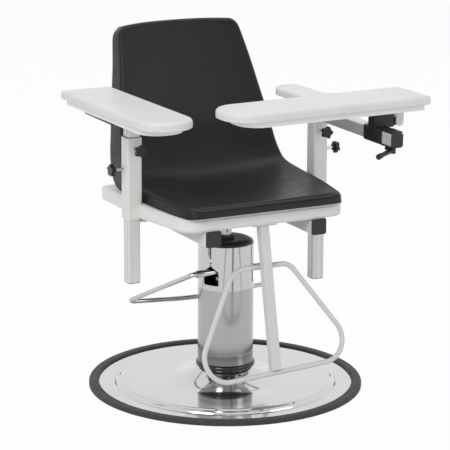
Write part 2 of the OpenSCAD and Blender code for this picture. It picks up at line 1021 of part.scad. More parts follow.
module stud_side_left() {
    at_side(-1)
        stud(side_stand);
}

module knob_front_right() {
    color("black")
        at_front(1)
            star_knob();
}

module stud_front_right() {
    at_front(1)
        stud(front_stand);
}

module knob_side_right() {
    color("black")
        at_side(1)
            star_knob();
}

module stud_side_right() {
    at_side(1)
        stud(side_stand);
}

// Places parts on the strut: the origin at its top, -Z down its forward lean
module at_strut() {
    translate([0, -strut_y, seat_z])
        rotate([-strut_lean, 0, 0])
            children();
}

// Leaning strut that hangs the foot bar under the seat, its foot cut to the bar
module foot_strut() {
    color("whitesmoke")
        difference() {
            union() {
                at_strut()
                    rotate([0, strut_side, 0])
                        translate([0, 0, -strut_len - strut_w])
                            linear_extrude(strut_len + 2 * strut_w)
                                square_outline(strut_w, strut_corner);
                translate([-foot_plate_w / 2, -strut_y - foot_plate_d / 3, seat_z - foot_plate_t])
                    cube([foot_plate_w, foot_plate_d, foot_plate_t]);
            }
            translate([-seat_half_w, -seat_depth, seat_z])
                cube([2 * seat_half_w, 2 * seat_depth, seat_depth]);
            at_strut()
                translate([0, 0, -strut_len])
                    rotate([0, -hoop_slant, 0])
                        translate([-strut_len, -strut_len, hoop_d / 2 - strut_len])
                            cube([2 * strut_len, 2 * strut_len, strut_len]);
        }
}

// Closed foot bar, slung behind the strut at the top and under its foot
module foot_bar() {
    behind = (strut_w + hoop_d) / 2;
    right = hoop_low_half_w - hoop_shift;
    left = -hoop_low_half_w - hoop_shift;
    corners = [[-hoop_top_half_w - hoop_shift, behind, -hoop_top],
        [hoop_top_half_w - hoop_shift, behind, -hoop_top],
        [right, 0, right * tan(hoop_slant) - strut_len],
        [left, 0, left * tan(hoop_slant) - strut_len]];
    radii = [hoop_left_bend, hoop_right_bend, hoop_low_bend, hoop_low_bend];
    path = [for (i = [0:3])
        each bend(corners[(i + 3) % 4], corners[i], corners[(i + 1) % 4], radii[i], bend_steps)];
    color("whitesmoke")
        at_strut()
            rod(path, hoop_d, true);
}

// Shell stations from nose to head: place and height at the middle, place and
// height at the edge, half width, place and height of the rim's end
shell_shares = [
    [0.024, 0.055, 0.024, 0.055, 0.76, 0.008, 0],
    [0.035, 0.063, 0.035, 0.064, 0.845, 0.020, 0],
    [0.065, 0.061, 0.063, 0.068, 0.885, 0.055, 0],
    [0.133, 0.048, 0.133, 0.071, 0.915, 0.133, 0],
    [0.231, 0.034, 0.231, 0.078, 0.94, 0.231, 0],
    [0.329, 0.026, 0.329, 0.083, 0.956, 0.329, 0],
    [0.427, 0.024, 0.427, 0.087, 0.965, 0.427, 0],
    [0.525, 0.030, 0.516, 0.094, 0.97, 0.530, 0],
    [0.614, 0.051, 0.594, 0.105, 0.966, 0.622, 0],
    [0.678, 0.094, 0.643, 0.126, 0.953, 0.702, 0.004],
    [0.722, 0.164, 0.669, 0.167, 0.936, 0.765, 0.030],
    [0.747, 0.250, 0.694, 0.231, 0.914, 0.816, 0.089],
    [0.769, 0.357, 0.722, 0.330, 0.889, 0.853, 0.196],
    [0.794, 0.464, 0.751, 0.443, 0.857, 0.876, 0.317],
    [0.824, 0.571, 0.784, 0.552, 0.823, 0.902, 0.464],
    [0.857, 0.679, 0.818, 0.671, 0.788, 0.925, 0.598],
    [0.892, 0.786, 0.853, 0.786, 0.753, 0.949, 0.724],
    [0.929, 0.888, 0.890, 0.885, 0.724, 0.975, 0.839],
    [0.953, 0.944, 0.910, 0.939, 0.705, 0.992, 0.901],
    [0.965, 0.969, 0.918, 0.964, 0.683, 1.000, 0.928],
    [0.971, 0.982, 0.922, 0.977, 0.648, 1.006, 0.944]
];
// Crown of the shell's upper edge, and fall of the rim behind it
head_back_share = 0.082;
head_drop_share = 0.027;
// Exponent of the shell's dish across its width
dish = 2.6;
shell_cols = 14;
roll_steps = 3;
shell_rows = len(shell_shares) - 1;
shell_lift = 0.3;

// Point of the shell's upper face at station i and column j
function shell_point(i, j) =
    let (row = shell_shares[i], v = 2 * j / shell_cols - 1, t = sin(90 * v), f = pow(abs(t), dish))
    [t * row[4] * shell_half_w,
        mix(row[0], row[2], f) * shell_depth - shell_front,
        mix(row[1], row[3], f) * shell_h + seat_top + shell_lift];

// End of the rim under or behind the edge point at station i and column j
function rim_point(i, j) =
    let (p = shell_point(i, j), row = shell_shares[i])
    i == shell_rows ? p + [0, head_back_share * shell_depth, -head_drop_share * shell_h] :
    i == 0 ? [p[0], row[5] * shell_depth - shell_front, seat_top + shell_lift] :
    [p[0], row[5] * shell_depth - shell_front, row[6] * shell_h + seat_top + shell_lift];

// Normal of the shell's upper face, pointing to the sitter
function shell_normal(i, j) =
    unit(cross(shell_point(i, min(j + 1, shell_cols)) - shell_point(i, max(j - 1, 0)),
        shell_point(min(i + 1, shell_rows), j) - shell_point(max(i - 1, 0), j)));

// Edge of the grid, once round: nose, right side, head, left side
shell_loop = concat([for (j = [0:shell_cols - 1]) [0, j]], [for (i = [0:shell_rows - 1]) [i, shell_cols]],
    [for (j = [shell_cols:-1:1]) [shell_rows, j]], [for (i = [shell_rows:-1:1]) [i, 0]]);
loop_n = len(shell_loop);
function loop_point(k) = let (e = shell_loop[(k + loop_n) % loop_n]) shell_point(e[0], e[1]);
function loop_rim(k) = let (e = shell_loop[(k + loop_n) % loop_n]) rim_point(e[0], e[1]);
function loop_down(k) = unit(loop_rim(k) - loop_point(k));
function loop_out(k) = unit(cross(loop_point(k + 1) - loop_point(k - 1), -loop_down(k)));

// One-piece moulded seat and back with a rolled rim
module seat_shell() {
    grid = [for (i = [0:shell_rows], j = [0:shell_cols]) shell_point(i, j)];
    under = [for (i = [0:shell_rows], j = [0:shell_cols]) shell_point(i, j) - shell_t * shell_normal(i, j)];
    roll = [for (m = [1:roll_steps], k = [0:loop_n - 1]) let (a = 90 * m / roll_steps)
        loop_point(k) + roll_r * (sin(a) * loop_out(k) + (1 - cos(a)) * loop_down(k))];
    rim_out = [for (k = [0:loop_n - 1]) loop_rim(k) + roll_r * loop_out(k)];
    rim_in = [for (k = [0:loop_n - 1]) loop_rim(k) + (roll_r - shell_t) * loop_out(k)];
    grid_n = len(grid);
    base = 2 * grid_n;
    edge = [for (e = shell_loop) e[0] * (shell_cols + 1) + e[1]];
    rings = concat([edge], [for (m = [0:roll_steps + 1]) [for (k = [0:loop_n - 1]) base + m * loop_n + k]],
        [[for (e = edge) e + grid_n]]);
    top = [for (i = [0:shell_rows - 1], j = [0:shell_cols - 1])
        let (a = i * (shell_cols + 1) + j, b = a + shell_cols + 1)
            each [[a, b, b + 1], [a, b + 1, a + 1]]];
    bottom = [for (f = top) [f[0] + grid_n, f[2] + grid_n, f[1] + grid_n]];
    strips = [for (m = [0:len(rings) - 2], k = [0:loop_n - 1]) let (q = (k + 1) % loop_n)
        each [[rings[m][k], rings[m][q], rings[m + 1][q]], [rings[m][k], rings[m + 1][q], rings[m + 1][k]]]];
    color("darkslategray")
        polyhedron(concat(grid, under, roll, rim_out, rim_in), concat(top, bottom, strips));
}

// Screws up through the seat board, just under the shell
module seat_screws() {
    color("silver")
        for (x = [-1, 1], y = [-screw_front, screw_back])
            translate([x * screw_x, y, seat_z]) {
                translate([0, 0, -screw_head_h])
                    cylinder(r = screw_head_r, h = screw_head_h);
                cylinder(r = screw_r, h = board_t);
            }
}

// Left inner tube, raised out of its post
module inner_tube_left() {
    color("silver")
        translate([-post_x, 0, left_inner_z])
            grooved_tube(inner_len);
}

// Right inner tube, right down in its post
module inner_tube_right() {
    color("silver")
        translate([post_x, 0, right_inner_z])
            grooved_tube(inner_len);
}

// Plug in an inner tube's lower end
module tube_plug(s, z) {
    color("dimgray")
        translate([s * post_x, 0, z]) {
            translate([0, 0, -plug_t])
                linear_extrude(plug_t)
                    square_outline(inner_w - inner_corner / 2, inner_corner);
            linear_extrude(plug_grip)
                square_outline(inner_w - 2 * inner_wall, inner_corner / 4);
        }
}

module tube_plug_left() {
    tube_plug(-1, left_inner_z);
}

module tube_plug_right() {
    tube_plug(1, right_inner_z);
}

// Plate and gusset between the left inner tube and its board
left_plate_edge = left_x + left_w / 2 - base_inset;
module left_arm_plate() {
    plate_z = left_base_z - left_plate_t;
    color("dimgray")
        difference() {
            union() {
                translate([-left_plate_edge, -left_plate_front, plate_z])
                    cube([left_plate_w, left_plate_len, left_plate_t]);
                translate([-post_x - inner_w / 2, gusset_t / 2, plate_z])
                    rotate([90, 0, 0])
                        linear_extrude(gusset_t)
                            difference() {
                                translate([-gusset_h, -gusset_h])
                                    square([gusset_h, gusset_h]);
                                translate([-gusset_h, -gusset_h])
                                    circle(gusset_h - left_plate_t);
                            }
            }
            at_arm_screws()
                translate([0, 0, -over])
                    cylinder(r = arm_screw_r, h = left_plate_t + 2 * over);
        }
}

// Places of the left arm plate's screws, at the plate's underside
module at_arm_screws() {
    for (x = [arm_screw_in, left_plate_w - arm_screw_in], y = [arm_screw_in, left_plate_len - arm_screw_in])
        translate([x - left_plate_edge, y - left_plate_front, left_base_z - left_plate_t])
            children();
}

// Screws up through the left arm plate into the board
module arm_plate_screws() {
    color("silver")
        at_arm_screws() {
            translate([0, 0, -arm_screw_head_h])
                cylinder(r = arm_screw_head_r, h = arm_screw_head_h);
            cylinder(r = arm_screw_r, h = left_plate_t + arm_screw_depth);
        }
}

// Outline with rounded corners, shrunk by an inset; each corner is [x, y, radius, 1 or -1 for an inner one]
function outline_arc(c, i, inset) =
    let (n = len(c), b = [c[i][0], c[i][1]], a = [c[(i + n - 1) % n][0], c[(i + n - 1) % n][1]])
    let (e = [c[(i + 1) % n][0], c[(i + 1) % n][1]], u = unit(a - b), v = unit(e - b), r = c[i][2])
    let (half = acos(u * v) / 2, middle = unit(u + v) / sin(half), sweep = 180 - 2 * half)
    let (k = max(r - c[i][3] * inset, r / 8), centre = b + middle * (c[i][3] * inset + k))
    let (p = k * (u / tan(half) - middle), q = k * (v / tan(half) - middle))
    [for (j = [0:outline_steps]) let (t = j / outline_steps)
        centre + (p * sin(sweep * (1 - t)) + q * sin(sweep * t)) / sin(sweep)];
function outline(c, inset) = [for (i = [0:len(c) - 1]) each outline_arc(c, i, inset)];

// Slab on an outline, its lower and upper edges rounded; caps lists the convex parts of its flat faces
module soft_slab(c, caps, t, low_r, top_r) {
    levels = concat(
        [for (k = [0:edge_steps])
            let (a = 90 * k / edge_steps) [low_r * (1 - sin(a)), low_r * (1 - cos(a))]],
        [for (k = [0:edge_steps])
            let (a = 90 * k / edge_steps) [top_r * (1 - cos(a)), t - top_r * (1 - sin(a))]]);
    rings = [for (l = levels) [for (p = outline(c, l[0])) [p[0], p[1], l[1]]]];
    n = len(rings[0]);
    m = len(rings);
    walls = [for (i = [0:m - 2], k = [0:n - 1]) let (q = (k + 1) % n, a = i * n, b = (i + 1) * n)
        each [[a + k, b + k, b + q], [a + k, b + q, a + q]]];
    lids = [for (f = caps) [for (k = [1:len(f)]) (m - 1) * n + f[len(f) - k]]];
    polyhedron([for (g = rings) each g], concat(walls, caps, lids));
}

left_corners = [
    [-left_w / 2, -left_front, left_corner_front, 1],
    [left_w / 2, -left_front, left_corner_front, 1],
    [left_w / 2, left_len - left_front, left_corner_back, 1],
    [-left_w / 2, left_len - left_front, left_corner_back, 1]
];

left_base_corners = [
    [base_inset - left_w / 2, nose_inset - left_front, left_corner_front - base_inset, 1],
    [left_w / 2 - base_inset, nose_inset - left_front, left_corner_front - base_inset, 1],
    [left_w / 2 - base_inset, left_len - left_front - base_inset, base_corner, 1],
    [base_inset - left_w / 2, left_len - left_front - base_inset, base_corner, 1]
];

left_caps = [[for (k = [0:4 * outline_steps + 3]) k]];

module place_left_board() {
    translate([-left_x, 0, 0])
        rotate(left_yaw)
            children();
}

module left_board_base() {
    color("gainsboro")
        difference() {
            place_left_board()
                translate([0, 0, left_base_z])
                    linear_extrude(base_t)
                        polygon(outline(left_base_corners, 0));
            at_arm_screws()
                cylinder(r = arm_screw_r, h = left_plate_t + arm_screw_depth);
        }
}

module left_board_top() {
    color("whitesmoke")
        place_left_board()
            translate([0, 0, left_base_z + base_t])
                soft_slab(left_corners, left_caps, slab_t, slab_low_r, slab_edge_r);
}

// Beam across the right inner tube's top, running forward
module arm_beam() {
    color("darkgray")
        translate([post_x, beam_back, beam_z + inner_w / 2])
            rotate([90, 0, 0])
                square_tube(inner_w, inner_wall, inner_corner, beam_reach + beam_back);
}

// Black caps in the beam's ends
module beam_caps() {
    color("black")
        for (end = [[-beam_reach, 90], [beam_back, -90]])
            translate([post_x, end[0], beam_z + inner_w / 2])
                rotate([end[1], 0, 0]) {
                    linear_extrude(beam_cap_t)
                        square_outline(inner_w, inner_corner);
                    translate([0, 0, -cap_grip])
                        linear_extrude(cap_grip)
                            square_outline(inner_w - 2 * inner_wall, inner_corner / 4);
                }
}

// Sliding carriage: sleeve, nose plates and the hinge block
module carriage() {
    mid = -carriage_y;
    low = beam_z - beam_gap - carriage_wall;
    block_y = mid - block_front;
    color("black")
        difference() {
            union() {
                translate([post_x, mid + carriage_len / 2, beam_z + inner_w / 2])
                    rotate([90, 0, 0])
                        square_tube(sleeve_side, carriage_wall, inner_corner + carriage_wall, carriage_len);
                translate([post_x - sleeve_side / 2 + inner_corner, mid - carriage_len / 2 - nose_len,
                    carriage_top - nose_t])
                    cube([sleeve_side - 2 * inner_corner, nose_len + carriage_wall, nose_t]);
                translate([post_x - tongue_half_w, mid - carriage_len / 2 - nose_len, low])
                    cube([2 * tongue_half_w, nose_len + carriage_wall, nose_t]);
                translate([block_x, block_y, carriage_top - nose_t])
                    cube([block_w, block_depth, block_h + nose_t]);
                translate([hinge_x, block_y + block_depth, hinge_z])
                    rotate([90, 0, 0])
                        cylinder(r = knuckle_r, h = block_depth);
                translate([block_x + block_w - over, block_y, hinge_z - knuckle_r])
                    cube([hinge_x - block_x - block_w + over, block_depth, knuckle_r]);
            }
            translate([hinge_x, block_y + block_depth + over, hinge_z])
                rotate([90, 0, 0])
                    cylinder(r = hinge_r, h = block_depth + 2 * over);
            translate([post_x, -lever_y, low - over])
                cylinder(r = lever_stud_r + play, h = nose_t + 2 * over);
        }
}

// Pin that the flip-up board turns on
module hinge_pin() {
    reach = leaf_gap + ear_t;
    color("silver")
        translate([hinge_x, block_depth - carriage_y - block_front + reach, hinge_z])
            rotate([90, 0, 0])
                cylinder(r = hinge_r, h = block_depth + 2 * reach);
}

// Leaf under the right board, with an ear at each end of the knuckle
module hinge_leaf() {
    block_y = -carriage_y - block_front;
    reach = leaf_gap + ear_t;
    leaf_z = carriage_top + block_h;
    color("whitesmoke")
        difference() {
            union() {
                translate([block_x, block_y - reach, leaf_z + leaf_gap])
                    cube([leaf_w - leaf_gap, block_depth + 2 * reach, leaf_t - leaf_gap]);
                for (y = [block_y - leaf_gap, block_y + block_depth + reach])
                    translate([hinge_x, y, hinge_z])
                        rotate([90, 0, 0]) {
                            cylinder(r = ear_r, h = ear_t);
                            translate([-ear_r, 0, 0])
                                cube([2 * ear_r, leaf_z + leaf_t - hinge_z, ear_t]);
                        }
            }
            translate([hinge_x, block_y + block_depth + reach + over, hinge_z])
                rotate([90, 0, 0])
                    cylinder(r = hinge_r + play, h = block_depth + 2 * reach + 2 * over);
        }
}

// Right board's corners: the lower slab's, and the upper slab's with the elbow branch behind it
right_tip = right_end - right_len;
branch_back = right_w / 2 + branch_len;
right_base_corners = [
    [right_tip + nose_inset, base_inset - right_w / 2, right_corner_tip - base_inset, 1],
    [right_end - base_inset, base_inset - right_w / 2, base_corner, 1],
    [right_end - base_inset, right_w / 2 - base_inset, base_corner, 1],
    [right_tip + nose_inset, right_w / 2 - base_inset, right_corner_tip - base_inset, 1]
];
branch_corners = [
    [right_tip, -right_w / 2, right_corner_tip, 1],
    [right_end, -right_w / 2, right_corner_end, 1],
    [right_end, right_w / 2, right_corner_end, 1],
    [branch_x + branch_w / 2, right_w / 2, branch_fillet, -1],
    [branch_x + branch_w / 2, branch_back, branch_corner, 1],
    [branch_x - branch_w / 2, branch_back, branch_corner, 1],
    [branch_x - branch_w / 2, right_w / 2, branch_fillet, -1],
    [right_tip, right_w / 2, right_corner_tip, 1]
];

arc_n = outline_steps + 1;
branch_caps = concat(
    [concat([for (k = [0:3 * arc_n]) k], [for (k = [7 * arc_n - 1:8 * arc_n - 1]) k])],
    [for (k = [0:outline_steps - 1])
        [3 * arc_n + k, 3 * arc_n + k + 1, 7 * arc_n - k - 2, 7 * arc_n - k - 1]],
    [[for (k = [4 * arc_n - 1:6 * arc_n]) k]]);

module place_right_board() {
    pivot = block_x + block_w / 2;
    translate([pivot, -carriage_y, 0])
        rotate(right_yaw)
            translate([-pivot, 0, 0])
                children();
}

module right_board_base() {
    color("gainsboro")
        place_right_board()
            translate([0, 0, right_base_z])
                linear_extrude(base_t)
                    polygon(outline(right_base_corners, 0));
}

module right_board_top() {
    color("whitesmoke")
        place_right_board()
            translate([0, 0, right_base_z + base_t])
                soft_slab(branch_corners, branch_caps, slab_t, slab_low_r, slab_edge_r);
}

// Lever that clamps the carriage from below, with a long arm and a short one
module clamp_lever() {
    top = beam_z - beam_gap - carriage_wall - gap;
    color("black")
        translate([post_x, -lever_y, top - lever_hub_h])
            difference() {
                union() {
                    cylinder(r = lever_hub_r, h = lever_hub_h);
                    rotate(lever_turn)
                        rotate([0, 90 + lever_slope, 0])
                            translate([-lever_hub_h / 2, 0, 0])
                                union() {
                                    cylinder(r1 = lever_arm_r, r2 = lever_end_r * 3 / 4, h = lever_len);
                                    translate([0, 0, lever_len - lever_end_r])
                                        cylinder(r = lever_end_r, h = 2 * lever_end_r);
                                }
                    rotate(lever_turn - lever_wing_turn)
                        translate([0, 0, lever_hub_h / 2])
                            rotate([0, 90, 0])
                                cylinder(r1 = lever_arm_r, r2 = lever_wing_r, h = lever_wing);
                }
                translate([0, 0, lever_hub_h / 4])
                    cylinder(r = lever_stud_r, h = lever_hub_h);
            }
}

// Stud of the clamp lever, up through the carriage's tongue
module clamp_stud() {
    top = beam_z - beam_gap - carriage_wall - gap;
    rise = carriage_wall + gap + beam_gap / 2;
    color("silver")
        translate([post_x, -lever_y, top - lever_hub_h * 3 / 4])
            cylinder(r = lever_stud_r, h = lever_hub_h * 3 / 4 + rise);
}

base_plate();
base_cover();
base_rim();
pump_body();
pump_bolts();
column_foot_ring();
column_band();
column_tube();
column_sleeve();
column_cap();
ram_seal();
lift_ram();
ram_collar();
pedal_bar();
pedal_shafts();
swivel_hub();
hub_bolts();
seat_board();
frame_tube_left();
frame_tube_right();
tube_caps();
post_bracket_left();
post_bracket_right();
post_left();
post_right();
post_bush_left();
post_bush_right();
knob_bosses();
foot_strut();
foot_bar();
seat_shell();
seat_screws();
inner_tube_left();
tube_plug_left();
left_arm_plate();
arm_plate_screws();
left_board_base();
left_board_top();
inner_tube_right();
tube_plug_right();
arm_beam();
beam_caps();
carriage();
hinge_pin();
hinge_leaf();
right_board_base();
right_board_top();
clamp_lever();
clamp_stud();
knob_front_left();
stud_front_left();
knob_side_left();
stud_side_left();
knob_front_right();
stud_front_right();
knob_side_right();
stud_side_right();
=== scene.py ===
"""Looks for the blood-drawing chair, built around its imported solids. Metres, +Z up, the chair faces -Y."""
import math

import bmesh
import bpy
from mathutils import Matrix, Vector


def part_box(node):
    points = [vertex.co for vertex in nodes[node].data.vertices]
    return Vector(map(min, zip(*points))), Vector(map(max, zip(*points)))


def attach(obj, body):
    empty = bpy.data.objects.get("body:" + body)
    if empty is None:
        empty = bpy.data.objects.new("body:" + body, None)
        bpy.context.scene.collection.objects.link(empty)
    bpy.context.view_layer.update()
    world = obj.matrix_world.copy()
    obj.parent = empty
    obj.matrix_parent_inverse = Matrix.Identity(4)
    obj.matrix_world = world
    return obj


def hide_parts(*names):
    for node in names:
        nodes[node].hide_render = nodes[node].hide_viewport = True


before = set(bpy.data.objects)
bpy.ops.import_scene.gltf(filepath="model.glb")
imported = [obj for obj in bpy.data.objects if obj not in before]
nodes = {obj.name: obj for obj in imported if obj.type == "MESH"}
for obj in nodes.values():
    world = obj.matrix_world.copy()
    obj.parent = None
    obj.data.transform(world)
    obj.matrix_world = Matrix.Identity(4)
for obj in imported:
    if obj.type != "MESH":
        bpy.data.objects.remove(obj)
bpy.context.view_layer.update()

MM = 0.001
FLAT_INSET = 2.0  # how far inside a slab's rounded edge its flat face starts
WELD = 1e-7  # vertices closer than this, in metres, are one
CREASE = 35.0  # degrees between faces, past which an edge stays sharp
FACE_WEIGHT = 80  # how far large faces steer the slabs' normals
ROD_SIDES, HOOP_STEPS, SPUN_SEGMENTS = 28, 18, 192
SCENE = bpy.context.scene


# Helpers
def unit(v):
    return v.normalized()


def mix(a, b, t):
    return a + (b - a) * t


def mesh_piece(name, verts, faces, body, material, replaces=(), smooth=CREASE):
    """A mesh object on a body, smooth but for edges sharper than an angle."""
    mesh = bpy.data.meshes.new(name)
    mesh.from_pydata([tuple(v) for v in verts], [], [tuple(f) for f in faces])
    mesh.validate()
    bm = bmesh.new()
    bm.from_mesh(mesh)
    bmesh.ops.remove_doubles(bm, verts=bm.verts, dist=WELD)
    bmesh.ops.recalc_face_normals(bm, faces=bm.faces)
    bm.to_mesh(mesh)
    bm.free()
    mesh.polygons.foreach_set("use_smooth", [True] * len(mesh.polygons))
    mesh.set_sharp_from_angle(angle=math.radians(smooth))
    ob = bpy.data.objects.new(name, mesh)
    SCENE.collection.objects.link(ob)
    ob.data.materials.append(material)
    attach(ob, body)
    if replaces:
        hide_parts(*replaces)
    return ob


def weigh_normals(ob):
    """Shade a slab's flats flat, with its rounded edges soft."""
    m = ob.modifiers.new("normals", "WEIGHTED_NORMAL")
    m.keep_sharp = True
    m.weight = FACE_WEIGHT


def half_angle(u, v):
    """Half the angle between two unit directions."""
    return math.acos(max(-1, min(1, u.dot(v)))) / 2


def arc(centre, p, q, sweep, steps):
    """Points round a centre, from its arm p to its arm q."""
    out = []
    for i in range(steps + 1):
        t = i / steps
        out.append(centre + (p * math.sin(sweep * (1 - t)) + q * math.sin(sweep * t)) / math.sin(sweep))
    return out


def bend(a, b, c, r, steps):
    """Points of the arc of radius r that rounds corner b of a-b-c."""
    u, v = unit(a - b), unit(c - b)
    half = half_angle(u, v)
    centre = b + unit(u + v) * (r / math.sin(half))
    p, q = b + u * (r / math.tan(half)) - centre, b + v * (r / math.tan(half)) - centre
    return arc(centre, p, q, math.pi - 2 * half, steps)


def tube(path, radius, sides, closed=False):
    """Vertices and faces of a tube along a path, carried without twist."""
    n = len(path)
    verts, faces, side = [], [], None
    for i, p in enumerate(path):
        a = path[(i - 1) % n] if closed or i else p
        b = path[(i + 1) % n] if closed or i < n - 1 else p
        t = unit(b - a)
        ref = side if side else t.cross(Vector((0.1, 0.2, 1)))
        side = unit(ref - t * ref.dot(t))
        up = t.cross(side)
        for k in range(sides):
            w = 2 * math.pi * k / sides
            verts.append(p + (side * math.cos(w) + up * math.sin(w)) * radius)
    for i in range(n if closed else n - 1):
        for k in range(sides):
            a, b, m = i * sides, ((i + 1) % n) * sides, (k + 1) % sides
            faces.append((a + k, a + m, b + m, b + k))
    if not closed:
        faces.append(tuple(range(sides)))
        faces.append(tuple((n - 1) * sides + k for k in reversed(range(sides))))
    return verts, faces


def lathe(profile, segments):
    """Turned surface round Z from (radius, height) points."""
    verts, faces, m = [], [], len(profile)
    for k in range(segments):
        w = 2 * math.pi * k / segments
        verts += [Vector((r * math.cos(w), r * math.sin(w), z)) for r, z in profile]
    for k in range(segments):
        a, b = k * m, ((k + 1) % segments) * m
        faces += [(a + i, b + i, b + i + 1, a + i + 1) for i in range(m - 1)]
    return verts, faces


def corner_arc(corners, i, inset, steps):
    """One rounded corner (x, y, radius, 1 or -1 for an inner one), set in."""
    n = len(corners)
    b, a, e = (Vector(corners[k % n][:2]) for k in (i, i - 1, i + 1))
    r, s = corners[i][2:]
    u, v = unit(a - b), unit(e - b)
    half = half_angle(u, v)
    middle = unit(u + v) / math.sin(half)
    k = max(r - s * inset, r / 8)
    centre = b + middle * (s * inset + k)
    p, q = (u / math.tan(half) - middle) * k, (v / math.tan(half) - middle) * k
    return arc(centre, p, q, math.pi - 2 * half, steps)


def slab(corners, z0, t, low_r, top_r, place, steps=14, edge_steps=8):
    """Vertices and faces of a slab with rounded corners and rounded edges."""
    levels = []
    for k in range(edge_steps + 1):
        w = math.pi / 2 * k / edge_steps
        levels.append((low_r * (1 - math.sin(w)), low_r * (1 - math.cos(w))))
    for k in range(edge_steps + 1):
        w = math.pi / 2 * k / edge_steps
        levels.append((top_r * (1 - math.cos(w)), t - top_r * (1 - math.sin(w))))
    levels.append((top_r + FLAT_INSET, t))
    verts, faces = [], []
    for inset, z in levels:
        ring = [p for i in range(len(corners)) for p in corner_arc(corners, i, inset, steps)]
        verts += [place @ Vector((p.x * MM, p.y * MM, (z0 + z) * MM)) for p in ring]
    n = len(verts) // len(levels)
    for i in range(len(levels) - 1):
        for k in range(n):
            m = (k + 1) % n
            faces.append((i * n + k, i * n + m, (i + 1) * n + m, (i + 1) * n + k))
    faces.append(tuple(reversed(range(n))))
    faces.append(tuple((len(levels) - 1) * n + k for k in range(n)))
    return verts, faces


# Materials
NOISE_SPAN = (0.3, 0.7)  # where most of a noise's values lie
SHADED_UNDERSIDE = (-0.95, -0.9)  # upward share of a face's direction, over which the underside's painted shade fades in
BRUSHED_PULL = 0.6
ANODISED_METALLIC = 0.45
FINEST_GLOSS = 0.02


class Mat:
    """A Principled material and a short way to wire nodes to it."""

    def __init__(self, name, **inputs):
        self.m = bpy.data.materials.new(name)
        self.m.use_nodes = True
        self.t = self.m.node_tree
        self.b = self.t.nodes["Principled BSDF"]
        self.plug(self.b, inputs)
        self.where = self.t.nodes.new("ShaderNodeTexCoord").outputs["Object"]

    def plug(self, node, inputs):
        for key, value in inputs.items():
            socket = node.inputs[key.replace("_", " ")] if isinstance(key, str) else node.inputs[key]
            if isinstance(value, bpy.types.NodeSocket):
                self.t.links.new(value, socket)
            elif socket.type == "RGBA" and len(value) == 3:
                socket.default_value = (*value, 1)
            else:
                socket.default_value = value

    def node(self, kind, inputs=None, **props):
        n = self.t.nodes.new(kind)
        for key, value in props.items():
            setattr(n, key, value)
        self.plug(n, inputs or {})
        return n

    def stretch(self, scale):
        return self.node("ShaderNodeMapping", {"Vector": self.where, "Scale": scale}).outputs[0]

    def noise(self, scale, detail=3.0, rough=0.5, vector=None):
        inputs = {"Vector": vector or self.where, "Scale": scale, "Detail": detail, "Roughness": rough}
        return self.node("ShaderNodeTexNoise", inputs).outputs["Fac"]

    def drift(self, fac, low, high):
        """A colour that runs between two over the middle of a noise."""
        n = self.node("ShaderNodeValToRGB", {"Fac": fac})
        for stop, position, colour in zip(n.color_ramp.elements, NOISE_SPAN, (low, high)):
            stop.position = position
            stop.color = (*colour, 1)
        return n.outputs["Color"]

    def remap(self, fac, low, high, span=NOISE_SPAN):
        inputs = {"Value": fac, "From_Min": span[0], "From_Max": span[1], "To_Min": low, "To_Max": high}
        return self.node("ShaderNodeMapRange", inputs).outputs[0]

    def bump(self, height, strength, distance):
        inputs = {"Height": height, "Strength": strength, "Distance": distance}
        return self.node("ShaderNodeBump", inputs).outputs[0]

    def done(self, **inputs):
        self.plug(self.b, inputs)
        return self.m


def grey(v, warm=0.0):
    return (v * (1 + warm), v, v * (1 - warm))


def tone(m, noise, level, low, high, warm=0.0):
    """The level's grey, drifting between two shares of it."""
    return m.drift(noise, grey(level * low, warm), grey(level * high, warm))


def paint(name, level, warm, rough, peel=0.06, under=None):
    """Powder coat: slight colour drift, orange peel, uneven gloss; the underside can get a painted shade, a
    dark grey set by which way its faces turn.
    """
    m = Mat(name)
    colour = tone(m, m.noise(9.0, 2.0), level, 0.97, 1.02, warm)
    # Painted shade: faces turned downwards take the dark grey given by under, in place of the paint.
    if under:
        facing = m.node("ShaderNodeNewGeometry").outputs["True Normal"]
        upward = m.node("ShaderNodeSeparateXYZ", {"Vector": facing}).outputs[2]
        painted_shade_share = m.remap(upward, 1.0, 0.0, SHADED_UNDERSIDE)
        mixed = {6: colour, 7: (*grey(under), 1), 0: painted_shade_share}
        colour = m.node("ShaderNodeMix", mixed, data_type="RGBA").outputs[2]
    return m.done(Base_Color=colour, Roughness=m.remap(m.noise(60.0, 3.0), rough - 0.05, rough + 0.06),
                  Normal=m.bump(m.noise(900.0, 2.0), peel, 0.0004))


def plastic(name, level, warm, rough, grain, grain_scale, specular, tint=(1.0, 1.0, 1.0)):
    """Moulded plastic with a fine spark-eroded grain."""
    m = Mat(name, Specular_IOR_Level=specular, Specular_Tint=tint)
    colour = tone(m, m.noise(14.0, 3.0), level, 0.9, 1.1, warm)
    return m.done(Base_Color=colour, Roughness=m.remap(m.noise(40.0, 4.0), rough - 0.04, rough + 0.05),
                  Normal=m.bump(m.noise(grain_scale, 4.0, 0.6), grain, 0.0005))


def polished(name, level, rough, smear=0.03):
    """Bright plating: faint smears and micro scratches in the gloss."""
    m = Mat(name, Metallic=1.0)
    colour = tone(m, m.noise(6.0, 2.0), level, 0.97, 1.02)
    gloss = m.remap(m.noise(30.0, 5.0, 0.65), max(rough - smear, FINEST_GLOSS), rough + smear)
    return m.done(Base_Color=colour, Roughness=gloss,
                  Normal=m.bump(m.noise(5.0, 1.0), 0.04, 0.002))


def brushed(name, level, warm, rough, along):
    """Brushed metal: fine lines across the direction given by a stretch."""
    m = Mat(name, Metallic=1.0, Anisotropic=BRUSHED_PULL)
    lines = m.noise(1.0, 3.0, 0.6, m.stretch(along))
    colour = tone(m, lines, level, 0.9, 1.08, warm)
    tangent = m.node("ShaderNodeTangent", direction_type="RADIAL", axis="Z").outputs[0]
    return m.done(Base_Color=colour, Roughness=m.remap(lines, rough - 0.06, rough + 0.08),
                  Normal=m.bump(lines, 0.05, 0.0003), Tangent=tangent)


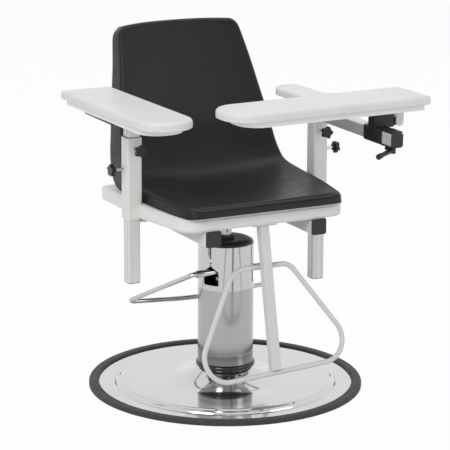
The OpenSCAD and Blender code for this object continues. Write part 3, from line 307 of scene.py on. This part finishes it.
def anodised(name, level, rough, along):
    """Pale anodised extrusion: soft sheen with faint drawing lines along it."""
    m = Mat(name, Metallic=ANODISED_METALLIC)
    lines = m.noise(1.0, 3.0, 0.6, m.stretch(along))
    colour = tone(m, lines, level, 0.95, 1.03)
    return m.done(Base_Color=colour, Roughness=m.remap(lines, rough - 0.05, rough + 0.06),
                  Normal=m.bump(lines, 0.05, 0.0003))


WHITE = 0.76  # the frame's paint, which the other whites are set against
ACROSS_Z, ALONG_Y, ALONG_Z = (3.0, 3.0, 1400.0), (300.0, 4.0, 300.0), (300.0, 300.0, 4.0)
frame_white = paint("frame_paint", WHITE, 0.022, 0.42)
# Painted shade: the strut and foot bar take the frame's paint darkened to 0.87 of it, for the shade under the
# seat.
foot_shaded_white = paint("foot_bar_painted_shade", WHITE * 0.87, 0.022, 0.42)
# Painted shade: the seat board's underside is made nearly black (under=0.03).
seat_white = paint("seat_board_paint", WHITE * 1.02, 0.02, 0.45, under=0.03)
board_white = paint("arm_board_skin", WHITE * 0.94, 0.018, 0.4, 0.03)
# Painted light: the boards' lower slabs are made lighter than the upper slabs, against the shade under the
# upper slab's overhang.
board_base_painted_light = paint("arm_board_base_painted_light", WHITE * 1.08, 0.018, 0.5, 0.05)
shell_black = plastic("shell_moulding", 0.0125, 0.09, 0.4, 0.22, 1500.0, 0.22, (1.0, 0.9, 0.94))
cap_plastic = plastic("black_cap_plastic", 0.026, 0.0, 0.4, 0.1, 900.0, 0.35)
column_cap_mat = plastic("column_cap_plastic", 0.05, 0.04, 0.36, 0.06, 700.0, 0.45)
knob_black = plastic("knob_plastic", 0.01, 0.0, 0.28, 0.06, 900.0, 0.4)
ring_black = plastic("ring_plastic", 0.008, 0.0, 0.16, 0.03, 500.0, 0.5)
rim_rubber = plastic("rim_rubber", 0.042, 0.02, 0.6, 0.25, 700.0, 0.35)
seal_grey = plastic("seal_rubber", 0.05, 0.0, 0.55, 0.1, 700.0, 0.4)
carriage_black = plastic("carriage_paint", 0.019, 0.1, 0.36, 0.1, 800.0, 0.4)
# Painted shade: the plate under the left board is near black, standing in for the shade under the board's
# edge.
plate_shade_black = plastic("arm_plate_painted_shade", 0.014, 0.0, 0.45, 0.1, 800.0, 0.4)
plate_iron = plastic("plate_casting", 0.05, 0.02, 0.7, 0.4, 300.0, 0.4)
cover_chrome = polished("cover_plating", 0.62, 0.09)
band_chrome = polished("band_plating", 0.28, 0.16)
sleeve_chrome = polished("sleeve_plating", 0.56, 0.12)
ram_chrome = polished("ram_plating", 0.45, 0.08)
pump_chrome = polished("pump_plating", 0.3, 0.16)
pedal_chrome = polished("pedal_plating", 0.56, 0.12)
steel = polished("bolt_plating", 0.5, 0.25, 0.05)
tube_brushed = brushed("column_brushed", 0.42, 0.025, 0.2, ACROSS_Z)
tube_alu = anodised("arm_tube_metal", 0.7, 0.4, ALONG_Z)
beam_alu = anodised("beam_metal", 0.72, 0.4, ALONG_Y)

FINISH = {
    plate_iron: ["base_plate"],
    cover_chrome: ["base_cover"],
    rim_rubber: ["base_rim"],
    pump_chrome: ["pump_body"],
    steel: ["pump_bolts", "hub_bolts", "seat_screws", "arm_plate_screws", "stud_front_left", "stud_side_left",
            "stud_front_right", "stud_side_right", "clamp_stud", "hinge_pin", "ram_collar"],
    ring_black: ["column_foot_ring"],
    band_chrome: ["column_band"],
    tube_brushed: ["column_tube"],
    sleeve_chrome: ["column_sleeve"],
    column_cap_mat: ["column_cap"],
    seal_grey: ["ram_seal"],
    ram_chrome: ["lift_ram"],
    pedal_chrome: ["pedal_bar", "pedal_shafts"],
    carriage_black: ["swivel_hub", "carriage"],
    seat_white: ["seat_board"],
    frame_white: ["frame_tube_left", "frame_tube_right", "post_bracket_left", "post_bracket_right",
                  "post_left", "post_right", "knob_bosses", "hinge_leaf"],
    foot_shaded_white: ["foot_strut", "foot_bar"],
    cap_plastic: ["tube_caps", "tube_plug_left", "tube_plug_right", "beam_caps", "post_bush_left",
                  "post_bush_right"],
    shell_black: ["seat_shell"],
    tube_alu: ["inner_tube_left", "inner_tube_right"],
    beam_alu: ["arm_beam"],
    plate_shade_black: ["left_arm_plate"],
    board_white: ["left_board_top", "right_board_top"],
    board_base_painted_light: ["left_board_base", "right_board_base"],
    knob_black: ["knob_front_left", "knob_side_left", "knob_front_right", "knob_side_right", "clamp_lever"],
}
for material, names in FINISH.items():
    for n in names:
        ob = nodes[n]
        ob.data.materials.clear()
        ob.data.materials.append(material)

# Arm boards
LEFT_W, LEFT_LEN, LEFT_FRONT, LEFT_X, LEFT_YAW = 130.0, 467.0, 289.0, 279.0, 1.5
LEFT_NOSE_R, LEFT_BACK_R = 59.8, 4.0
SLAB_T, SLAB_LOW_R, SLAB_TOP_R = 20.0, 3.0, 8.0


def board(name, corners, cad_node, body, place):
    """An arm board's upper slab on top of its CAD node's lower face."""
    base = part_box(cad_node)[0].z / MM
    verts, faces = slab(corners, base, SLAB_T, SLAB_LOW_R, SLAB_TOP_R, place)
    weigh_normals(mesh_piece(name, verts, faces, body, board_white, [cad_node]))


half_w, back = LEFT_W / 2, LEFT_LEN - LEFT_FRONT
left_corners = [(-half_w, -LEFT_FRONT, LEFT_NOSE_R, 1), (half_w, -LEFT_FRONT, LEFT_NOSE_R, 1),
                (half_w, back, LEFT_BACK_R, 1), (-half_w, back, LEFT_BACK_R, 1)]
left_place = Matrix.Translation((-LEFT_X * MM, 0, 0)) @ Matrix.Rotation(math.radians(LEFT_YAW), 4, "Z")
board("left_board_slab", left_corners, "left_board_top", "left_arm", left_place)

RIGHT_END, RIGHT_LEN, RIGHT_W, RIGHT_YAW = 343.0, 514.0, 139.0, 2.4
BRANCH_X, BRANCH_W, BRANCH_LEN = 119.0, 66.0, 150.0
RIGHT_TIP_R, RIGHT_END_R, BRANCH_FILLET, BRANCH_R = 62.0, 8.0, 24.0, 32.0
RIGHT_PIVOT = Vector((0.254, -0.288, 0))
tip, half_w = RIGHT_END - RIGHT_LEN, RIGHT_W / 2
back = half_w + BRANCH_LEN
branch_low, branch_high = BRANCH_X - BRANCH_W / 2, BRANCH_X + BRANCH_W / 2
right_corners = [(tip, -half_w, RIGHT_TIP_R, 1), (RIGHT_END, -half_w, RIGHT_END_R, 1),
                 (RIGHT_END, half_w, RIGHT_END_R, 1), (branch_high, half_w, BRANCH_FILLET, -1),
                 (branch_high, back, BRANCH_R, 1), (branch_low, back, BRANCH_R, 1),
                 (branch_low, half_w, BRANCH_FILLET, -1), (tip, half_w, RIGHT_TIP_R, 1)]
right_place = (Matrix.Translation(RIGHT_PIVOT) @ Matrix.Rotation(math.radians(RIGHT_YAW), 4, "Z")
               @ Matrix.Translation((-RIGHT_PIVOT.x, 0, 0)))
board("right_board_slab", right_corners, "right_board_top", "flip_board", right_place)

# Seat shell
# Rows from the front of the seat to the top of the back. Each holds the middle's depth and height, the
# edge's depth and height, the half width, and the rim's depth and height, as shares of the shell's size.
SHELL = [
    (0.024, 0.055, 0.024, 0.055, 0.76, 0.008, 0), (0.035, 0.063, 0.035, 0.064, 0.845, 0.020, 0),
    (0.065, 0.061, 0.063, 0.068, 0.885, 0.055, 0), (0.133, 0.048, 0.133, 0.071, 0.915, 0.133, 0),
    (0.231, 0.034, 0.231, 0.078, 0.94, 0.231, 0), (0.329, 0.026, 0.329, 0.083, 0.956, 0.329, 0),
    (0.427, 0.024, 0.427, 0.087, 0.965, 0.427, 0), (0.525, 0.030, 0.516, 0.094, 0.97, 0.530, 0),
    (0.614, 0.051, 0.594, 0.105, 0.966, 0.622, 0), (0.678, 0.094, 0.643, 0.126, 0.953, 0.702, 0.004),
    (0.722, 0.164, 0.669, 0.167, 0.936, 0.765, 0.030), (0.747, 0.250, 0.694, 0.231, 0.914, 0.816, 0.089),
    (0.769, 0.357, 0.722, 0.330, 0.889, 0.853, 0.196), (0.794, 0.464, 0.751, 0.443, 0.857, 0.876, 0.317),
    (0.824, 0.571, 0.784, 0.552, 0.823, 0.902, 0.464), (0.857, 0.679, 0.818, 0.671, 0.788, 0.925, 0.598),
    (0.892, 0.786, 0.853, 0.786, 0.753, 0.949, 0.724), (0.929, 0.888, 0.890, 0.885, 0.724, 0.975, 0.839),
    (0.953, 0.944, 0.910, 0.939, 0.705, 0.992, 0.901), (0.965, 0.969, 0.918, 0.964, 0.683, 1.000, 0.928),
    (0.971, 0.982, 0.922, 0.977, 0.648, 1.006, 0.944),
]
SHELL_HALF_W, SHELL_DEPTH, SHELL_H, SHELL_FRONT, SHELL_Z = 217.0, 510.0, 373.0, 219.0, 472.2
ROLL_R, SHELL_T, DISH = 11.0, 5.0, 2.6
LIP_BACK, LIP_DOWN = 0.082, 0.027  # how far the top edge is returned, as shares of depth and height
SMOOTHINGS = 4
SHELL_CREASE, COVER_CREASE = 60.0, 50.0


def spline_rows(rows, per):
    """Catmull-Rom rows between the given ones."""
    out = []
    for i in range(len(rows) - 1):
        p0, p1, p2, p3 = (rows[max(0, min(len(rows) - 1, i + d))] for d in (-1, 0, 1, 2))
        for k in range(per):
            t = k / per
            out.append([0.5 * (2 * b + (c - a) * t + (2 * a - 5 * b + 4 * c - d) * t * t
                               + (3 * b - a - 3 * c + d) * t ** 3) for a, b, c, d in zip(p0, p1, p2, p3)])
    return out + [list(rows[-1])]


def build_shell(cols=48, per=3, roll_steps=6):
    rows = spline_rows(SHELL, per)
    last = len(rows) - 1

    def point(i, j):
        row, v = rows[i], 2 * j / cols - 1
        t = math.sin(math.pi / 2 * v)
        f = abs(t) ** DISH
        return Vector((t * row[4] * SHELL_HALF_W, mix(row[0], row[2], f) * SHELL_DEPTH - SHELL_FRONT,
                       mix(row[1], row[3], f) * SHELL_H + SHELL_Z))

    def rim(i, j):
        p, row = point(i, j), rows[i]
        if i == last:
            return p + Vector((0, LIP_BACK * SHELL_DEPTH, -LIP_DOWN * SHELL_H))
        if i == 0:
            return Vector((p.x, row[5] * SHELL_DEPTH - SHELL_FRONT, SHELL_Z))
        return Vector((p.x, row[5] * SHELL_DEPTH - SHELL_FRONT, max(row[6], 0) * SHELL_H + SHELL_Z))

    def normal(i, j):
        return unit((point(i, min(j + 1, cols)) - point(i, max(j - 1, 0))).cross(
            point(min(i + 1, last), j) - point(max(i - 1, 0), j)))

    loop = ([(0, j) for j in range(cols)] + [(i, cols) for i in range(last)]
            + [(last, j) for j in range(cols, 0, -1)] + [(i, 0) for i in range(last, 0, -1)])
    n = len(loop)
    edge = [point(*e) for e in loop]
    ends = [rim(*e) for e in loop]
    down = [unit(e - p) for p, e in zip(edge, ends)]
    out = [unit((edge[(k + 1) % n] - edge[k - 1]).cross(-down[k])) for k in range(n)]
    for _ in range(SMOOTHINGS):
        out = [unit(out[k - 1] + 2 * out[k] + out[(k + 1) % n]) for k in range(n)]
        down = [unit(down[k - 1] + 2 * down[k] + down[(k + 1) % n]) for k in range(n)]
    verts = [point(i, j) for i in range(last + 1) for j in range(cols + 1)]
    under = [point(i, j) - SHELL_T * normal(i, j) for i in range(last + 1) for j in range(cols + 1)]
    g = len(verts)
    verts = verts + under
    for m in range(1, roll_steps + 1):
        w = math.pi / 2 * m / roll_steps
        verts += [edge[k] + ROLL_R * (math.sin(w) * out[k] + (1 - math.cos(w)) * down[k]) for k in range(n)]
    verts += [ends[k] + ROLL_R * out[k] for k in range(n)]
    verts += [ends[k] + (ROLL_R - SHELL_T) * out[k] for k in range(n)]
    first = [i * (cols + 1) + j for i, j in loop]
    rings = [first] + [[2 * g + m * n + k for k in range(n)] for m in range(roll_steps + 2)]
    rings.append([e + g for e in first])
    faces = []
    for i in range(last):
        for j in range(cols):
            a = i * (cols + 1) + j
            b = a + cols + 1
            faces.append((a, b, b + 1, a + 1))
            faces.append((a + g, a + 1 + g, b + 1 + g, b + g))
    for m in range(len(rings) - 1):
        for k in range(n):
            q = (k + 1) % n
            faces.append((rings[m][k], rings[m][q], rings[m + 1][q], rings[m + 1][k]))
    return [v * MM for v in verts], faces


verts, faces = build_shell()
mesh_piece("shell_moulded", verts, faces, "seat", shell_black, ["seat_shell"],
           SHELL_CREASE)

# Foot bar
STRUT_Y, SEAT_Z, STRUT_LEN, STRUT_W, STRUT_LEAN = 185.0, 440.2, 346.2, 22.5, 16.5
HOOP_D, TOP_HALF, LOW_HALF, SHIFT, HOOP_TOP = 12.0, 73.0, 223.0, 8.5, 100.0
SLANT = math.tan(math.radians(3.1))
HOOP_BENDS = (58, 36, 55, 55)
behind = (STRUT_W + HOOP_D) / 2
low_right, low_left = LOW_HALF - SHIFT, -LOW_HALF - SHIFT
corner = [Vector((-TOP_HALF - SHIFT, behind, -HOOP_TOP)), Vector((TOP_HALF - SHIFT, behind, -HOOP_TOP)),
          Vector((low_right, 0, low_right * SLANT - STRUT_LEN)),
          Vector((low_left, 0, low_left * SLANT - STRUT_LEN))]
path = []
for i, r in enumerate(HOOP_BENDS):
    path += bend(corner[i - 1], corner[i], corner[(i + 1) % len(corner)], r, HOOP_STEPS)
hoop_place = (Matrix.Translation((0, -STRUT_Y * MM, SEAT_Z * MM))
              @ Matrix.Rotation(math.radians(-STRUT_LEAN), 4, "X"))
verts, faces = tube([hoop_place @ (p * MM) for p in path], HOOP_D / 2 * MM, ROD_SIDES, True)
mesh_piece("foot_bar_tube", verts, faces, "seat", foot_shaded_white, ["foot_bar"])

# Pedal: from each shaft out to a knee, back and down to a far corner, and over the sagging middle
PEDAL_Y, PEDAL_Z, PEDAL_HALF, PEDAL_D = -34.0, 290.5, 97.0, 12.0
SHAFT_OVERLAP, KNEE_SHARE = 10, 0.75
FAR_HALF, FAR_Y, BAR_DROP, BAR_SAG = 195, 143, 100, 14
FAR_BEND, SAG_BEND = 14, 1300
KNEE_STEPS, FAR_STEPS, SAG_STEPS = 14, 18, 24
end = Vector((PEDAL_HALF - SHAFT_OVERLAP, PEDAL_Y, PEDAL_Z))
knee = Vector((PEDAL_HALF + PEDAL_D * KNEE_SHARE, PEDAL_Y, PEDAL_Z))
far = Vector((FAR_HALF, FAR_Y, PEDAL_Z - BAR_DROP))
sag = Vector((0, FAR_Y, PEDAL_Z - BAR_DROP - BAR_SAG))
flip = Matrix.Diagonal((-1, 1, 1))
path = ([flip @ end]
        + bend(flip @ end, flip @ knee, flip @ far, PEDAL_D, KNEE_STEPS)
        + bend(flip @ knee, flip @ far, sag, FAR_BEND, FAR_STEPS)
        + bend(flip @ far, sag, far, SAG_BEND, SAG_STEPS)
        + bend(sag, far, knee, FAR_BEND, FAR_STEPS)
        + bend(far, knee, end, PEDAL_D, KNEE_STEPS)
        + [end])
verts, faces = tube([p * MM for p in path], PEDAL_D / 2 * MM, ROD_SIDES)
mesh_piece("pedal_bar_rod", verts, faces, "pedal", pedal_chrome, ["pedal_bar"])

# Base cover
DISC_H, COVER_T, FLANGE_H = 17.0, 1.4, 7.4
BELL_FOOT, BELL_TOP, BELL_Z = 150.0, 64.7, 44.95
DISC_EDGE, STEP, LEDGE, SKIRT = (253.0, DISC_H), (257.5, 12.6), (265.5, 11.6), (268.0, FLANGE_H)
DISC_INSIDE, LEDGE_AIM, SKIRT_AIM = (200, DISC_H), (266.0, 12.0), (268.5, FLANGE_H)
FLANGE_AIM, FLANGE_END = (300, FLANGE_H), (312.0, FLANGE_H)


def fillet(a, b, c, r, steps):
    return [(p.x, p.y) for p in bend(Vector(a), Vector(b), Vector(c), r, steps)]


def bell(steps=24):
    """Concave rise from the disc to the foot ring, one arc."""
    run, rise = BELL_FOOT - BELL_TOP, BELL_Z - DISC_H
    r = (run * run + rise * rise) / (2 * rise)
    full = math.asin(run / r)
    turns = [full * (1 - i / steps) for i in range(steps + 1)]
    return [(BELL_FOOT - r * math.sin(w), DISC_H + r - r * math.cos(w)) for w in turns]


top_side = (bell()
            + fillet(DISC_INSIDE, DISC_EDGE, STEP, 4.0, 8)
            + fillet(DISC_EDGE, STEP, LEDGE_AIM, 3.0, 6)
            + fillet(STEP, LEDGE, SKIRT_AIM, 2.0, 6)
            + fillet(LEDGE, SKIRT, FLANGE_AIM, 1.5, 5)
            + [FLANGE_END])
profile = top_side + [(r, z - COVER_T) for r, z in reversed(top_side)]
verts, faces = lathe([(r * MM, z * MM) for r, z in profile + profile[:1]], SPUN_SEGMENTS)
mesh_piece("base_cover_spun", verts, faces, "base", cover_chrome, ["base_cover"],
           COVER_CREASE)

# Floor and world
FLOOR_SIZE, FLOOR_DROP, FLOOR_GREY, FLOOR_ROUGH, FLOOR_GLOW = 60, 0.0002, 0.92, 0.9, 0.95
WORLD_LEVEL = 0.5


def larger(tree, a, b):
    """The larger of two sockets."""
    n = tree.nodes.new("ShaderNodeMath")
    n.operation = "MAXIMUM"
    tree.links.new(a, n.inputs[0])
    tree.links.new(b, n.inputs[1])
    return n.outputs[0]


def plain_rays(tree):
    """1 for a ray from the camera, a gloss or a glass, else 0."""
    rays = tree.nodes.new("ShaderNodeLightPath").outputs
    seen = larger(tree, rays["Is Camera Ray"], rays["Is Glossy Ray"])
    return larger(tree, seen, rays["Is Transmission Ray"])


def show_white(tree, share, lit, plain, output):
    """The lit shader, with a share of the plain white one where that is looked at."""
    blend = tree.nodes.new("ShaderNodeMixShader")
    tree.links.new(share, blend.inputs[0])
    tree.links.new(lit.outputs[0], blend.inputs[1])
    tree.links.new(plain.outputs[0], blend.inputs[2])
    tree.links.new(blend.outputs[0], tree.nodes[output].inputs["Surface"])


bpy.ops.mesh.primitive_plane_add(size=FLOOR_SIZE, location=(0, 0, -FLOOR_DROP))
floor = bpy.context.object
floor.name = "floor"
floor_mat = bpy.data.materials.new("floor_white")
floor_mat.use_nodes = True
tree = floor_mat.node_tree
bsdf = tree.nodes["Principled BSDF"]
bsdf.inputs["Base Color"].default_value = (*grey(FLOOR_GREY), 1)
bsdf.inputs["Roughness"].default_value = FLOOR_ROUGH
bsdf.inputs["Specular IOR Level"].default_value = 0.0
glow = tree.nodes.new("ShaderNodeEmission")
share = tree.nodes.new("ShaderNodeMath")
share.operation = "MULTIPLY"
share.inputs[1].default_value = FLOOR_GLOW
tree.links.new(plain_rays(tree), share.inputs[0])
show_white(tree, share.outputs[0], bsdf, glow, "Material Output")
floor.data.materials.append(floor_mat)

world = bpy.data.worlds.new("studio")
world.use_nodes = True
SCENE.world = world
tree = world.node_tree
ambient = tree.nodes["Background"]
white = tree.nodes.new("ShaderNodeBackground")
for background, strength in ((ambient, WORLD_LEVEL), (white, 1.0)):
    background.inputs["Color"].default_value = (1, 1, 1, 1)
    background.inputs["Strength"].default_value = strength
show_white(tree, plain_rays(tree), ambient, white, "World Output")

# Lamps: place, the point that each looks at, size and power in watts
LAMPS = {
    "key": ((-3.1, -2.2, 2.9), (0, 0, 0.5), (1.6, 1.6), 66),
    "fill": ((2.4, -3.0, 2.1), (0, 0, 0.5), (1.6, 2.0), 18),
    "top": ((0.2, 0.6, 3.6), (0, 0, 0.6), (2.0, 2.0), 28),
}
for name, (place, aim, size, power) in LAMPS.items():
    data = bpy.data.lights.new(name, "AREA")
    data.shape, data.size, data.size_y, data.energy = "RECTANGLE", *size, power
    ob = bpy.data.objects.new(name, data)
    SCENE.collection.objects.link(ob)
    ob.location = place
    ob.rotation_euler = (Vector(aim) - Vector(place)).to_track_quat("-Z", "Y").to_euler()

# Camera, at the place solved from the photograph
CAM_PLACE, CAM_LENS, CAM_SENSOR, CAM_REACH = (-2.3824, -4.6587, 1.7137), 180.85, 36.0, 100.0
AZ, PITCH, ROLL = math.radians(27.061), math.radians(14.166), math.radians(0.279)
cam_data = bpy.data.cameras.new("camera")
cam_data.sensor_width, cam_data.lens, cam_data.clip_end = CAM_SENSOR, CAM_LENS, CAM_REACH
cam = bpy.data.objects.new("camera", cam_data)
SCENE.collection.objects.link(cam)
look = Vector((math.sin(AZ) * math.cos(PITCH), math.cos(AZ) * math.cos(PITCH), -math.sin(PITCH)))
level_right = Vector((math.cos(AZ), -math.sin(AZ), 0))
level_down = look.cross(level_right)
right = level_right * math.cos(ROLL) - level_down * math.sin(ROLL)
down = level_right * math.sin(ROLL) + level_down * math.cos(ROLL)
turn = Matrix((right, -down, -look)).transposed().to_4x4()
cam.matrix_world = Matrix.Translation(CAM_PLACE) @ turn
SCENE.camera = cam

SCENE.view_settings.view_transform = "Standard"
